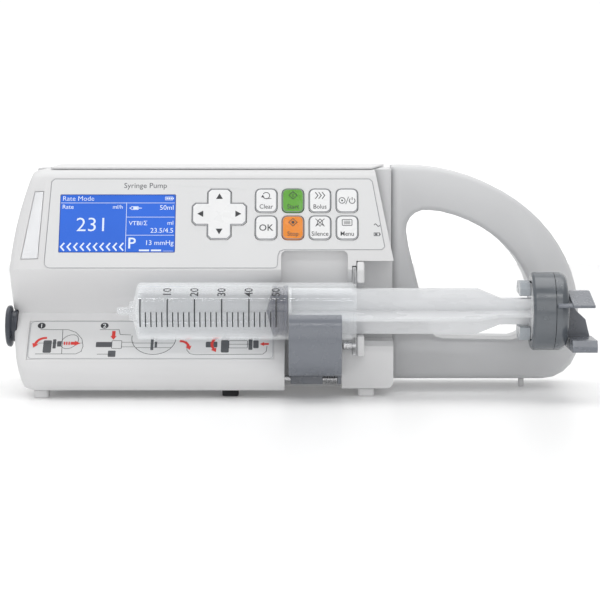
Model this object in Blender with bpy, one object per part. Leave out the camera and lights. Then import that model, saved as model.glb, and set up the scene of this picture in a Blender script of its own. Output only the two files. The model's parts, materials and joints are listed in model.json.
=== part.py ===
"""Bench syringe pump with a 50 ml syringe loaded, as separate solids.

Lengths are written in millimetres and scaled to metres when a mesh is made.
X runs to the right along the syringe, Y runs away from the user, Z is up.
While the pieces are laid out, Y = 0 is the syringe axis and Z = 0 is the bench;
the parent empty then puts the middle of the pump over the world origin.
"""

import math

import bmesh
import bpy
from mathutils import Matrix, Vector

MM = 0.001
GAP = 0.3
CENTRE_X = -1.65
CENTRE_Y = 30.5

# Case
WALL = 2.5
CASE_BOTTOM = 4.5
CASE_TOP = 124.0
CASE_SPLIT_Y = 56.0
CASE_BACK_Y = 88.0
CASE_RIGHT_X = 51.5
CORNER_X = -141.0
CORNER_WIDTH = 19.5
CORNER_DEPTH = 6.0
LEFT_LOWER_END_X = -8.5
BLOCK_FRONT_Y = 1.8
CLAMP_BAY = ((LEFT_LOWER_END_X, -20.0, 0.0), (23.0, 12.0, 38.0))
FLANGE_SLOT = ((28.6, -20.0, 23.3), (31.0, 16.2, 72.4))
PLUNGER_POCKET = ((31.0, -12.0, 30.5), (60.0, 20.2, 75.0))
FINGER_SCOOP = ((-10.4, -8.0, 55.0), (26.3, 10.8, 80.5))
SCOOP_RADIUS = 2.8
HOOK_PLACE = (0, 22, 37)
LOW_CORNER_RADIUS = 4.0

# In front of the handle the case's right end leans in from this height up to its top
LEAN_FOOT_Z = 75.2
LEAN_TOP_X = 41.8
LEAN_BACK_Y = 38.0

# Sloped control panel, from its bottom edge (the lip) upwards
LIP_Y = 1.0
LIP_Z = 70.4
SLOPE = math.radians(25.7)
PANEL_THICK = 1.1
PANEL_POCKET = 1.4
KEY_SIZE = (12.1, 14.3)
KEY_COLUMNS = (-18.75, -3.9, 11.05, 26.05)
KEY_ROWS = (40.9, 24.7)
KEY_PROUD = 0.5
KEY_DEEP = 3.2
DPAD_CENTRE = (-44.7, 32.9)
DPAD_SPAN = 30.1
DPAD_ARM = 13.2
LCD_BOX = ((-133.1, 10.1), (-68.9, 44.7))

# Syringe
AXIS_Z = 47.6
BARREL_R = 15.65
BORE_R = 14.55
BARREL_LEFT = -89.2
BARREL_RIGHT = 30.7
FLANGE_LEFT = 29.0
STOPPER_X = (-14.8, -6.6)
PLUNGER_R = 13.2
NECK_R = 7.6
THUMB_X = (126.5, 129.0)
THUMB_R = 15.5
CROSS_TURN = math.radians(16)

# Drive
TUBE_Y = 30.0
TUBE_Z = 46.2
TUBE_R = 6.0
SCREW_Y = 44.0
SCREW_Z = 47.0
SCREW_R = 4.0
ROD_Z = 34.0
ROD_R = 3.0
CARRIAGE_X = (14.0, 32.0)
NUT_PIVOT = (52.5, 47.5)
FRAME_X = (-78.0, 46.0)
GEAR_MODULE = 0.8
GEAR_TEETH = 36
PINION_TEETH = 12
GEAR_X = (-84.0, -79.5)
DRUM_R = 21.4
DRUM_LEFT = 126.6
DRUM_SEAM = 138.6
DRUM_RIGHT = 146.0
LEVER_X = 143.0
CLAW_PIVOT_Y = 15.5
CLAW_PIVOT_RISE = 11.5

# Barrel clamp
CLAMP_PIVOT = (5.0, 9.5)
CLAMP_X = (-6.2, 22.7)

# Handle
HANDLE_LEFT = 51.8
HANDLE_Y = (38.0, 74.0)
HANDLE_OUTER = (60.0, 42.0, 98.0, 83.7)
HANDLE_INNER = (62.0, 42.0, 71.0, 60.0)


for old in list(bpy.data.objects):
    bpy.data.objects.remove(old, do_unlink=True)

pump = bpy.data.objects.new("pump_origin", None)
bpy.context.scene.collection.objects.link(pump)
pump.location = (-CENTRE_X * MM, -CENTRE_Y * MM, 0)


# ---------------------------------------------------------------- materials

def material(name, colour, roughness, metallic=0.0):
    """A plain Principled material for one piece."""
    made = bpy.data.materials.new(name)
    made.use_nodes = True
    shader = made.node_tree.nodes["Principled BSDF"]
    shader.inputs["Base Color"].default_value = (*colour, 1)
    shader.inputs["Roughness"].default_value = roughness
    shader.inputs["Metallic"].default_value = metallic
    return made


FINISHES = {
    "white": ((0.80, 0.80, 0.81), 0.45, 0.0),
    "pale": ((0.66, 0.67, 0.69), 0.45, 0.0),
    "film": ((0.74, 0.75, 0.76), 0.5, 0.0),
    "screen": ((0.06, 0.21, 0.78), 0.1, 0.0),
    "key": ((0.86, 0.87, 0.88), 0.35, 0.0),
    "green": ((0.20, 0.50, 0.09), 0.35, 0.0),
    "orange": ((0.85, 0.33, 0.02), 0.35, 0.0),
    "grey": ((0.20, 0.21, 0.24), 0.4, 0.0),
    "dark": ((0.05, 0.05, 0.06), 0.6, 0.0),
    "clear": ((0.80, 0.82, 0.84), 0.1, 0.0),
    "rubber": ((0.02, 0.03, 0.06), 0.7, 0.0),
    "steel": ((0.62, 0.62, 0.63), 0.3, 1.0),
    "brass": ((0.75, 0.58, 0.28), 0.35, 1.0),
    "aluminium": ((0.70, 0.71, 0.72), 0.4, 1.0),
    "board": ((0.02, 0.22, 0.10), 0.5, 0.0),
}


# ------------------------------------------------------------ mesh builders

def add_object(name, bm, finish=None, pivot=(0, 0, 0)):
    """Turn a bmesh laid out in millimetres into an object whose origin is at pivot."""
    bmesh.ops.remove_doubles(bm, verts=bm.verts, dist=1e-4)
    bmesh.ops.recalc_face_normals(bm, faces=bm.faces)
    bmesh.ops.transform(bm, matrix=Matrix.Translation(-Vector(pivot)), verts=bm.verts)
    bmesh.ops.scale(bm, vec=(MM, MM, MM), verts=bm.verts)
    mesh = bpy.data.meshes.new(name)
    bm.to_mesh(mesh)
    bm.free()
    made = bpy.data.objects.new(name, mesh)
    bpy.context.scene.collection.objects.link(made)
    made.parent = pump
    made.location = Vector(pivot) * MM
    if finish:
        mesh.materials.append(material(name, *FINISHES[finish]))
        mesh.shade_smooth()
        mesh.set_sharp_from_angle(angle=math.radians(32))
    return made


def loft(rings, first_cap=True):
    """A closed skin through rings of equal length, with a flat cap at each end."""
    bm = bmesh.new()
    rows = [[bm.verts.new(point) for point in ring] for ring in rings]
    count = len(rows[0])
    for near, far in zip(rows, rows[1:]):
        for i in range(count):
            j = (i + 1) % count
            bm.faces.new((near[i], near[j], far[j], far[i]))
    if first_cap:
        bm.faces.new(rows[0])
    bm.faces.new(rows[-1])
    return bm


def zip_chains(bm, left, right):
    """Triangles between two chains of vertices that run downwards and share both ends."""
    i = j = 0
    while i + 1 < len(left) or j + 1 < len(right):
        step_left = j + 1 == len(right)
        if i + 1 < len(left) and not step_left:
            step_left = left[i + 1].co.z >= right[j + 1].co.z
        after = left[i + 1] if step_left else right[j + 1]
        if len({left[i], right[j], after}) == 3:
            bm.faces.new((left[i], right[j], after))
        if step_left:
            i += 1
        else:
            j += 1


def prism(outline, axis, low, high):
    """Extrude a closed 2-D outline along axis 0, 1 or 2 from low to high."""
    def lift(pair, level):
        point = list(pair)
        point.insert(axis, level)
        return point
    return loft([[lift(pair, level) for pair in outline] for level in (low, high)])


def box(low, high):
    corners = [(low[0], low[1]), (high[0], low[1]), (high[0], high[1]), (low[0], high[1])]
    return prism(corners, 2, low[2], high[2])


def turned(profile, centre, segments=32, axis="X"):
    """Spin (along, radius) pairs about an axis through centre; the profile is closed."""
    rings = []
    for k in range(segments):
        angle = 2 * math.pi * k / segments
        ring = []
        for along, radius in profile:
            across = radius * math.cos(angle)
            up = radius * math.sin(angle)
            offset = {"X": (along, across, up), "Y": (across, along, up), "Z": (across, up, along)}
            ring.append(Vector(centre) + Vector(offset[axis]))
        rings.append(ring)
    bm = bmesh.new()
    rows = [[bm.verts.new(point) for point in ring] for ring in rings]
    count = len(profile)
    for k in range(segments):
        near = rows[k]
        far = rows[(k + 1) % segments]
        for i in range(count):
            j = (i + 1) % count
            bm.faces.new((near[i], near[j], far[j], far[i]))
    bmesh.ops.remove_doubles(bm, verts=bm.verts, dist=1e-5)
    bmesh.ops.dissolve_degenerate(bm, dist=1e-6, edges=bm.edges)
    return bm


def rod(low, high, radius, centre, segments=24, axis="X", chamfer=0.0):
    """A solid round bar from low to high along the axis."""
    profile = [(low, 0), (low, radius - chamfer)]
    if chamfer:
        profile += [(low + chamfer, radius), (high - chamfer, radius)]
    profile += [(high, radius - chamfer), (high, 0)]
    return turned(profile, centre, segments, axis)


def ring_bar(low, high, inner, outer, centre, segments=32, axis="X"):
    profile = [(low, inner), (low, outer), (high, outer), (high, inner)]
    return turned(profile, centre, segments, axis)


def combine(target, operation, *tools):
    """Apply Booleans to an object; each tool is a bmesh in millimetres or an object."""
    for number, tool in enumerate(tools):
        if isinstance(tool, bmesh.types.BMesh):
            tool = add_object(f"{target.name}_tool_{number}", tool)
        change = target.modifiers.new("join", "BOOLEAN")
        change.operation = operation
        change.solver = "EXACT"
        change.object = tool
        bpy.context.view_layer.update()
        seen = target.evaluated_get(bpy.context.evaluated_depsgraph_get())
        mesh = bpy.data.meshes.new_from_object(seen)
        target.modifiers.clear()
        target.data = mesh
        bpy.data.objects.remove(tool, do_unlink=True)
    if target.data.materials:
        target.data.shade_smooth()
        target.data.set_sharp_from_angle(angle=math.radians(32))
    return target


def cut(target, *tools):
    return combine(target, "DIFFERENCE", *tools)


def join(target, *tools):
    return combine(target, "UNION", *tools)


def keep(target, *tools):
    return combine(target, "INTERSECT", *tools)


# -------------------------------------------------------------- 2-D outlines

def arc(centre, radius, start, end, count):
    """Points on an ellipse arc; radius is one number or a pair, angles in degrees."""
    wide, tall = radius if isinstance(radius, tuple) else (radius, radius)
    points = []
    for k in range(count + 1):
        angle = math.radians(start + (end - start) * k / count)
        points.append((centre[0] + wide * math.cos(angle), centre[1] + tall * math.sin(angle)))
    return points


def rounded_box(low, high, radius, count=3):
    """A rectangle with rounded corners, counter-clockwise."""
    centres = (
        (high[0] - radius, low[1] + radius, -90),
        (high[0] - radius, high[1] - radius, 0),
        (low[0] + radius, high[1] - radius, 90),
        (low[0] + radius, low[1] + radius, 180),
    )
    points = []
    for x, y, start in centres:
        points += arc((x, y), radius, start, start + 90, count)
    return points


def inset(outline, distance):
    """Move each side of a counter-clockwise outline inwards by distance."""
    moved = []
    count = len(outline)
    for i in range(count):
        before = Vector(outline[i - 1])
        here = Vector(outline[i])
        after = Vector(outline[(i + 1) % count])
        first = (here - before).normalized()
        second = (after - here).normalized()
        normal_a = Vector((-first.y, first.x))
        normal_b = Vector((-second.y, second.x))
        middle = (normal_a + normal_b) / max(1 + normal_a.dot(normal_b), 0.3)
        moved.append(tuple(here + middle * distance))
    return moved


def on_slope(x, up, out):
    """World place of a point on the control panel: across, up the slope, out of it."""
    y = LIP_Y + up * math.sin(SLOPE) - out * math.cos(SLOPE)
    z = LIP_Z + up * math.cos(SLOPE) + out * math.sin(SLOPE)
    return (x, y, z)


def slope_prism(outline, low, high):
    return loft([[on_slope(x, up, level) for x, up in outline] for level in (low, high)])


# --------------------------------------------------------------------- case

def subdivided(start, end, steps):
    """Points from start up to, but not including, end."""
    return [tuple(Vector(start).lerp(Vector(end), k / steps)) for k in range(steps)]


BACK_STEPS = 12


def case_section(shrink):
    """Front half of the case in Y and Z, counter-clockwise seen from the right."""
    slope_top = on_slope(0, 55.0, 0)
    top = (slope_top[1], slope_top[2])
    corners = [((CASE_SPLIT_Y, CASE_TOP), 1), ((31.5, CASE_TOP), 1)]
    if shrink < WALL:
        corners.append(((28.3, 123.2), 1))
    corners += [(top, 6), ((LIP_Y, LIP_Z), 1)]
    if shrink < WALL:
        corners.append(((1.4, 69.4), 1))
    corners += [((10.6, 60.0), 1), ((17.0, 50.5), 1), ((20.5, 44.4), 3), ((-6.5, 20.5), 1)]
    corners += [((-8.9, 17.0), 1), ((-9.9, 13.0), 1), ((-9.4, 8.6), 1), ((-6.0, CASE_BOTTOM), 1)]
    corners.append(((CASE_SPLIT_Y, CASE_BOTTOM), BACK_STEPS))
    points = []
    for (here, steps), (after, _) in zip(corners, corners[1:] + corners[:1]):
        points += subdivided(here, after, steps)
    return inset(points, shrink)


def side_reach(z):
    """How far the rounded left end reaches at height z, as a share of its width."""
    return 1 - 0.55 * ((z - 60) / 63) ** 2


def case_front_form(shrink, back):
    """The outer form of the front case, drawn in by shrink, open side at Y = back."""
    middle_z = (CASE_TOP + CASE_BOTTOM) / 2
    deep = CASE_SPLIT_Y + CORNER_DEPTH
    rings = []
    for share in (1.0, 0.96, 0.85, 0.68, 0.45, 0.2, 0.0):
        sink = CORNER_DEPTH * (1 - math.sqrt(1 - share ** 2))
        ring = []
        for y, z in case_section(shrink):
            x = CORNER_X - (CORNER_WIDTH - shrink) * share * side_reach(z)
            up = middle_z + (z - middle_z) * (1 - 0.35 * sink / middle_z)
            ring.append((x, back if y > 45 else y + sink * (CASE_SPLIT_Y - y) / deep, up))
        rings.append(ring)
    right = CASE_RIGHT_X - shrink
    rings.append([(right, y, z) for _, y, z in rings[-1]])
    bm = loft(rings, first_cap=False)
    bm.verts.ensure_lookup_table()
    end = list(bm.verts[:len(rings[0])])
    corner = len(end) - BACK_STEPS
    zip_chains(bm, end[:corner + 1], end[:1] + end[:corner - 1:-1])
    return bm


def grown(bounds, by):
    low, high = bounds
    return box([value - by for value in low], [value + by for value in high])


def scoop_form(by):
    """The finger scoop above the clamp, with rounded corners."""
    (left, front, low), (right, back, high) = FINGER_SCOOP
    outline = rounded_box((left - by, low - by), (right + by, high + by), SCOOP_RADIUS + by, 4)
    return prism(outline, 1, front - by, back + by)


def lean_form(by):
    """What the leaning right end leaves out of the case, in front of the handle."""
    lean = (CASE_RIGHT_X - LEAN_TOP_X) / (CASE_TOP - LEAN_FOOT_Z)
    above = CASE_TOP + 6
    clear_x = CASE_RIGHT_X + 9
    outline = [(CASE_RIGHT_X, LEAN_FOOT_Z), (clear_x, LEAN_FOOT_Z), (clear_x, above)]
    outline.append((CASE_RIGHT_X - lean * (above - LEAN_FOOT_Z), above))
    return prism(inset(outline, -by), 1, -20, LEAN_BACK_Y + by)


def low_corner_form(front, back):
    """What rounds off the lower right corner of the case between two depths."""
    centre = (CASE_RIGHT_X - LOW_CORNER_RADIUS, CASE_BOTTOM + LOW_CORNER_RADIUS)
    outline = arc(centre, LOW_CORNER_RADIUS, -90, 0, 5)
    clear_x = CASE_RIGHT_X + 2
    clear_z = CASE_BOTTOM - 2
    outline += [(clear_x, centre[1]), (clear_x, clear_z), (centre[0], clear_z)]
    return prism(outline[::-1], 1, front, back)


def front_hollows(by):
    """Bays cut into the front case for the clamp, the flange, the plunger and a finger."""
    front = ((LEFT_LOWER_END_X, -30.0, -5.0), (70.0, BLOCK_FRONT_Y, 62.0))
    bays = (front, CLAMP_BAY, FLANGE_SLOT, PLUNGER_POCKET)
    return [grown(bounds, by) for bounds in bays] + [scoop_form(by), lean_form(by)]


def panel_outline(margin=0.0):
    """The membrane panel across and up the slope, counter-clockwise."""
    points = arc((-137.5, 4.0), 3.0, 180, 270, 3)
    points += arc((-14.5, 3.0), 2.0, -90, 0, 3)
    points += [(-12.2, 8.5), (-11.2, 10.9), (-8.8, 11.8)]
    points += [(45.0, 11.8), (46.6, 13.4), (40.2, 52.5), (38.6, 54.0)]
    points += [(-136.6, 54.0), (-138.2, 52.4)]
    return inset(points, -margin)


LAMP_OUTLINE = ((-153.6, 76.0), (-144.4, 76.3), (-142.6, 112.2), (-147.4, 112.0))


def label_block(margin):
    """A block through the lower sloping wall where the instruction label lies."""
    along = Vector((27.0, 23.9)).normalized()
    out = Vector((-along.y, along.x))
    start = Vector((-6.5, 20.5)) + along * 2.0
    sides = ((-margin, -3), (28 + margin, -3), (28 + margin, 3), (-margin, 3))
    outline = [tuple(start + along * s + out * t) for s, t in sides]
    return prism(outline, 0, -150.0 - margin, -14.5 + margin)


def make_front_case():
    case = add_object("front_case", case_front_form(0, CASE_SPLIT_Y), "white")
    cut(case, *front_hollows(0))
    hollow = add_object("hollow", case_front_form(WALL, CASE_SPLIT_Y + 2))
    cut(hollow, *front_hollows(WALL))
    cut(hollow, rod(-170, -152, 11.8, HOOK_PLACE, 32))
    cut(case, hollow)
    cut(case, low_corner_form(-40, CASE_SPLIT_Y + 2))
    cut(case, slope_prism(panel_outline(GAP), -PANEL_POCKET, 4))
    cut(case, slope_prism(rounded_box((-131, 12), (-71, 43), 1), -8, 4))
    cut(case, slope_prism(rounded_box((-61.5, 15.5), (34.5, 50), 1), -8, 4))
    skin = add_object("lamp_pocket", prism(inset(LAMP_OUTLINE, -GAP), 1, -20, 24))
    cut(skin, case_front_form(1.3, CASE_SPLIT_Y + 2))
    cut(case, skin)
    bed = add_object("label_bed", label_block(GAP))
    cut(bed, case_front_form(0.8, CASE_SPLIT_Y + 2))
    cut(case, bed)
    cut(case, rod(-170, -157.4, 9.3, HOOK_PLACE, 32))
    cut(case, rod(40, 60, 7.2, (0, TUBE_Y, TUBE_Z), 32))
    for x in CLAMP_X:
        cut(case, rod(x - 5, x + 5, 2.05, (0, *CLAMP_PIVOT), 24))


def back_outline(shrink=0.0):
    """The case seen from behind: a wide D with a bowed left end, in X and Z."""
    points = [(CASE_RIGHT_X, CASE_BOTTOM), (CASE_RIGHT_X, CASE_TOP)]
    for k in range(13):
        z = CASE_TOP + (CASE_BOTTOM - CASE_TOP) * k / 12
        points.append((CORNER_X - CORNER_WIDTH * side_reach(z), z))
    return inset(points, shrink)


BATTERY_DOOR = ((-58.0, 18.0), (18.0, 66.0))
INLET_HOLE = ((-122.0, 18.0), (-92.0, 42.0))


def back_cutter(bounds, margin, radius, low=80.0, high=95.0):
    low_corner = [value - margin for value in bounds[0]]
    high_corner = [value + margin for value in bounds[1]]
    return prism(rounded_box(low_corner, high_corner, radius), 1, low, high)


def make_rear_case():
    def form(shrink, front, back):
        levels = ((front, 0.0), (back - 4.5, 0.0), (back - 1.6, 1.2), (back, 4.2))
        rings = []
        for y, round_off in levels:
            rings.append([(x, y, z) for x, z in back_outline(shrink + round_off)])
        return loft(rings)
    case = add_object("rear_case", form(0, CASE_SPLIT_Y + GAP, CASE_BACK_Y), "white")
    cut(case, form(WALL, CASE_SPLIT_Y - 2, CASE_BACK_Y - WALL))
    cut(case, low_corner_form(CASE_SPLIT_Y - 2, CASE_BACK_Y + 4))
    cut(case, back_cutter(BATTERY_DOOR, GAP, 2.0))
    cut(case, back_cutter(INLET_HOLE, GAP, 2.0))


def make_covers():
    lamp = add_object("alarm_lens", prism(LAMP_OUTLINE, 1, -20, 24), "screen")
    keep(lamp, case_front_form(-0.25, CASE_SPLIT_Y))
    cut(lamp, case_front_form(1.0, CASE_SPLIT_Y + 20))

    add_object("top_plate", prism(
        [(-138, 31.5), (40.5, 31.5), (49.0, 84.0), (-136, 84.0), (-140, 80), (-140, 33.5)],
        2, CASE_TOP + GAP, CASE_TOP + 1.5), "white")

    label = add_object("instruction_label", label_block(0), "film")
    keep(label, case_front_form(0.08, CASE_SPLIT_Y))
    cut(label, case_front_form(0.5, CASE_SPLIT_Y + 20))

    add_object("battery_door", back_cutter(BATTERY_DOOR, 0.0, 1.7, 85.6, 87.7), "white")


# ------------------------------------------------------------ control panel

def key_outline(x, up, margin=0.0):
    wide = KEY_SIZE[0] / 2 + margin
    tall = KEY_SIZE[1] / 2 + margin
    return rounded_box((x - wide, up - tall), (x + wide, up + tall), 3.0)


def dpad_outline(margin=0.0):
    """A plus sign with rounded arm ends."""
    half = DPAD_SPAN / 2 + margin
    arm = DPAD_ARM / 2 + margin
    quarter = [(arm, arm), (half - 2, arm), (half, arm - 2), (half, -arm + 2), (half - 2, -arm)]
    points = []
    for turn in range(4):
        angle = -math.pi / 2 * turn
        for x, up in quarter:
            points.append((DPAD_CENTRE[0] + x * math.cos(angle) - up * math.sin(angle),
                           DPAD_CENTRE[1] + x * math.sin(angle) + up * math.cos(angle)))
    return points[::-1]


def key_places():
    names = (("key_clear", "key_start", "key_bolus", "key_power"),
             ("key_ok", "key_stop", "key_silence", "key_menu"))
    finishes = {"key_start": "green", "key_stop": "orange"}
    for row, up in zip(names, KEY_ROWS):
        for name, x in zip(row, KEY_COLUMNS):
            yield name, x, up, finishes.get(name, "key")


def make_controls():
    panel = add_object("membrane_panel", slope_prism(panel_outline(), -PANEL_THICK, 0), "film")
    low, high = LCD_BOX
    cut(panel, slope_prism(rounded_box(low, high, 1.2), -3, 2))
    for name, x, up, finish in key_places():
        cut(panel, slope_prism(key_outline(x, up, GAP), -3, 2))
        pivot = on_slope(x, up, 0)
        add_object(name, slope_prism(key_outline(x, up), -KEY_DEEP, KEY_PROUD), finish, pivot)
    cut(panel, slope_prism(dpad_outline(GAP), -3, 2))
    pad = slope_prism(dpad_outline(), -KEY_DEEP, KEY_PROUD)
    add_object("key_dpad", pad, "key", on_slope(*DPAD_CENTRE, 0))
    window = rounded_box((low[0] + GAP, low[1] + GAP), (high[0] - GAP, high[1] - GAP), 1.0)
    add_object("lcd_window", slope_prism(window, -PANEL_THICK, 0), "screen")
    module = rounded_box((-135, 8.5), (-67, 46.5), 1)
    add_object("lcd_module", slope_prism(module, -9.0, -2.9), "dark")
    board = rounded_box((-63.5, 17.4), (36.5, 51), 1)
    add_object("key_board", slope_prism(board, -6.4, -4.8), "board")
    add_object("main_board", box((-128, 46, 86), (42, 47.6, 119)), "board")


# ------------------------------------------------------------------- handle

def handle_outline():
    """Outer edge of the carrying handle in X and Z, counter-clockwise."""
    x, z, wide, tall = HANDLE_OUTER
    points = [(HANDLE_LEFT, 5.0)]
    points += arc((137.7, 25.3), 20.3, -90, 0, 5)
    points += arc((x, z), (wide, tall), 0, 90, 16)
    points += [(HANDLE_LEFT, z + tall)]
    return points


def grip_outline():
    """The hand opening in X and Z, counter-clockwise."""
    x, z, wide, tall = HANDLE_INNER
    points = arc((81, 36), 8, 180, 270, 3)
    points += arc((118, 41), 14, -80, -12, 4)
    points += arc((x, z), (wide, tall), 6, 76, 10)
    points += arc((71, 90), 11, 80, 185, 5)
    points += [(61.5, 80), (66.5, 60)]
    return points


def make_handle(name, front, back, outer_y, inner_y):
    """One half of the handle: rounded on its outer face, hollow towards the other half."""
    step = 1 if outer_y == front else -1
    levels = ((outer_y, 3.0), (outer_y + step, 1.2), (outer_y + 3 * step, 0.0), (inner_y, 0.0))
    rings = []
    holes = []
    for y, round_off in levels:
        ring = inset(handle_outline(), round_off)
        rings.append([(max(px, HANDLE_LEFT), y, pz) for px, pz in ring])
        holes.append([(px, y, pz) for px, pz in inset(grip_outline(), -round_off)])
    first = list(holes[0])
    last = list(holes[-1])
    holes.insert(0, [(px, y - step * 5, pz) for px, y, pz in first])
    holes.append([(px, y + step * 5, pz) for px, y, pz in last])
    half = add_object(name, loft(rings), "pale")
    hollow_low = min(outer_y + step * WALL, inner_y + step * 5)
    hollow_high = max(outer_y + step * WALL, inner_y + step * 5)
    core = inset(handle_outline(), WALL + 0.5)
    hollow = add_object("hollow", prism(core, 1, hollow_low, hollow_high))
    cut(hollow, prism(inset(grip_outline(), -WALL - 0.5), 1, front - 9, back + 9))
    cut(half, hollow)
    cut(half, loft(holes))
    return half


# ------------------------------------------------------------------ syringe

def make_syringe():
    centre = (0, 0, AXIS_Z)
    inner_left = BARREL_LEFT + 1.2
    wall = [(BARREL_RIGHT, BORE_R), (inner_left, BORE_R), (inner_left - 2.0, 4.5)]
    wall += [(inner_left - 2.4, 1.2), (-100.5, 1.1), (-100.5, 2.0), (-93.6, 2.4), (-93.6, 5.2)]
    wall.append((-91.4, 5.5))
    wall += [(BARREL_LEFT, BARREL_R - 1.2), (BARREL_LEFT + 1.2, BARREL_R), (BARREL_RIGHT, BARREL_R)]
    barrel = add_object("syringe_barrel", turned(wall, centre, 48), "clear")
    flange = arc((0, AXIS_Z), (15.8, 24.2), 0, 352.5, 47)
    ears = add_object("ears", prism(flange, 0, FLANGE_LEFT, BARREL_RIGHT))
    cut(ears, rod(0, 60, BORE_R + 0.4, centre, 48))
    join(barrel, ears)

    cone = [(-18.4, 0), (STOPPER_X[0], BORE_R - 0.6), (STOPPER_X[0] + 0.6, BORE_R - 0.25)]
    cone += [(STOPPER_X[0] + 2, BORE_R - 0.25), (STOPPER_X[0] + 2.6, BORE_R - 1.2)]
    cone += [(STOPPER_X[1] - 2.6, BORE_R - 1.2), (STOPPER_X[1] - 2, BORE_R - 0.25)]
    cone += [(STOPPER_X[1], BORE_R - 0.25), (STOPPER_X[1], 0)]
    add_object("syringe_stopper", turned(cone, centre, 40), "rubber")

    side = [(-6.2, PLUNGER_R), (97.2, PLUNGER_R), (104.0, 10.2), (109.9, NECK_R), (126.8, NECK_R)]
    fin = side + [(x, -r) for x, r in reversed(side)]
    plunger = None
    for turn in (0, math.pi / 2):
        blade = prism(fin, 1, -0.9, 0.9)
        spin = Matrix.Rotation(turn + CROSS_TURN, 4, "X")
        bmesh.ops.transform(blade, matrix=Matrix.Translation(centre) @ spin, verts=blade.verts)
        if plunger is None:
            plunger = add_object("syringe_plunger", blade, "clear")
        else:
            join(plunger, blade)
    join(plunger, rod(-6.3, -4.6, PLUNGER_R + 0.2, centre, 40))
    join(plunger, rod(*THUMB_X, THUMB_R, centre, 40))


# -------------------------------------------------------------------- clamp

def make_clamp():
    """The spring-held clamp that presses the syringe barrel into its trough."""
    head = [(-17.4, 47.0), (-20.6, 44.6), (-22.8, 40.0), (-23.7, 34.0), (-23.4, 27.0)]
    head += [(-21.8, 20.5), (-18.6, 16.0), (-14.0, 13.4), (1.4, 11.4), (1.4, 7.0), (7.6, 7.0)]
    head += [(9.0, 9.5), (7.6, 12.6), (0, 15.6), (-6.4, 18.0), (-6.9, 28.0)]
    for angle in (1.05, 0.79, 0.52, 0.26, 0.03):
        head.append((-16.3 * math.cos(angle), AXIS_Z - 16.3 * math.sin(angle)))
    clamp = add_object("barrel_clamp", prism(head, 0, *CLAMP_X), "grey", (8, *CLAMP_PIVOT))
    cut(clamp, rod(-20, 40, 2.3, (0, *CLAMP_PIVOT), 24))
    cut(clamp, box((12.5, -0.5, 0), (20.5, 15, 20)))
    cut(clamp, box((-20, -6, 0), (CLAMP_X[0] + 1.0, 20, 13.4)))
    cut(clamp, box((-3.2, -19.5, 18.5), (19.7, -5.5, 30)))
    add_object("clamp_pin", rod(-10.5, 25.0, 2.0, (0, *CLAMP_PIVOT), 24), "steel")

    coil = bpy.data.curves.new("clamp_spring", "CURVE")
    coil.dimensions = "3D"
    coil.bevel_depth = 0.4 * MM
    coil.bevel_resolution = 1
    coil.use_fill_caps = True
    line = coil.splines.new("POLY")
    turns = 5
    steps = 14
    line.points.add(turns * steps)
    for k in range(turns * steps + 1):
        angle = 2 * math.pi * k / steps
        x = 13.3 + 6.4 * k / (turns * steps)
        y = CLAMP_PIVOT[0] + 2.9 * math.cos(angle)
        z = CLAMP_PIVOT[1] + 2.9 * math.sin(angle)
        line.points[k].co = (x * MM, y * MM, z * MM, 1)
    spring = bpy.data.objects.new("clamp_spring", coil)
    bpy.context.scene.collection.objects.link(spring)
    spring.parent = pump
    coil.materials.append(material("clamp_spring", *FINISHES["steel"]))


def make_flange_clip():
    """A U-shaped plate behind the barrel flange that leaves room for the plunger."""
    outline = [(-7, 23.1), (1.4, 23.1), (1.4, 31.0), (19.8, 31.0), (19.8, 74.6), (-3, 74.6)]
    outline += [(-7, 70.5), (-7, 63.6), (12.2, 63.6), (16.4, 59.4), (16.4, 38.6), (12.2, 34.4)]
    outline.append((-7, 34.4))
    add_object("flange_clip", prism(outline, 0, 31.3, 35.2), "white")


# -------------------------------------------------------------------- drive

def gear_outline(teeth, centre, turn, root_width, tip_width):
    """A spur gear in Y and Z with straight-sided teeth."""
    pitch = GEAR_MODULE * teeth / 2
    root = pitch - 1.0
    tip = pitch + 0.7
    points = []
    for k in range(teeth):
        middle = turn + 2 * math.pi * k / teeth
        corners = ((root, -root_width), (tip, -tip_width), (tip, tip_width), (root, root_width))
        for radius, width in corners:
            angle = middle + width / 2 / radius
            across = radius * math.cos(angle)
            points.append((centre[0] + across, centre[1] + radius * math.sin(angle)))
    return points


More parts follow.
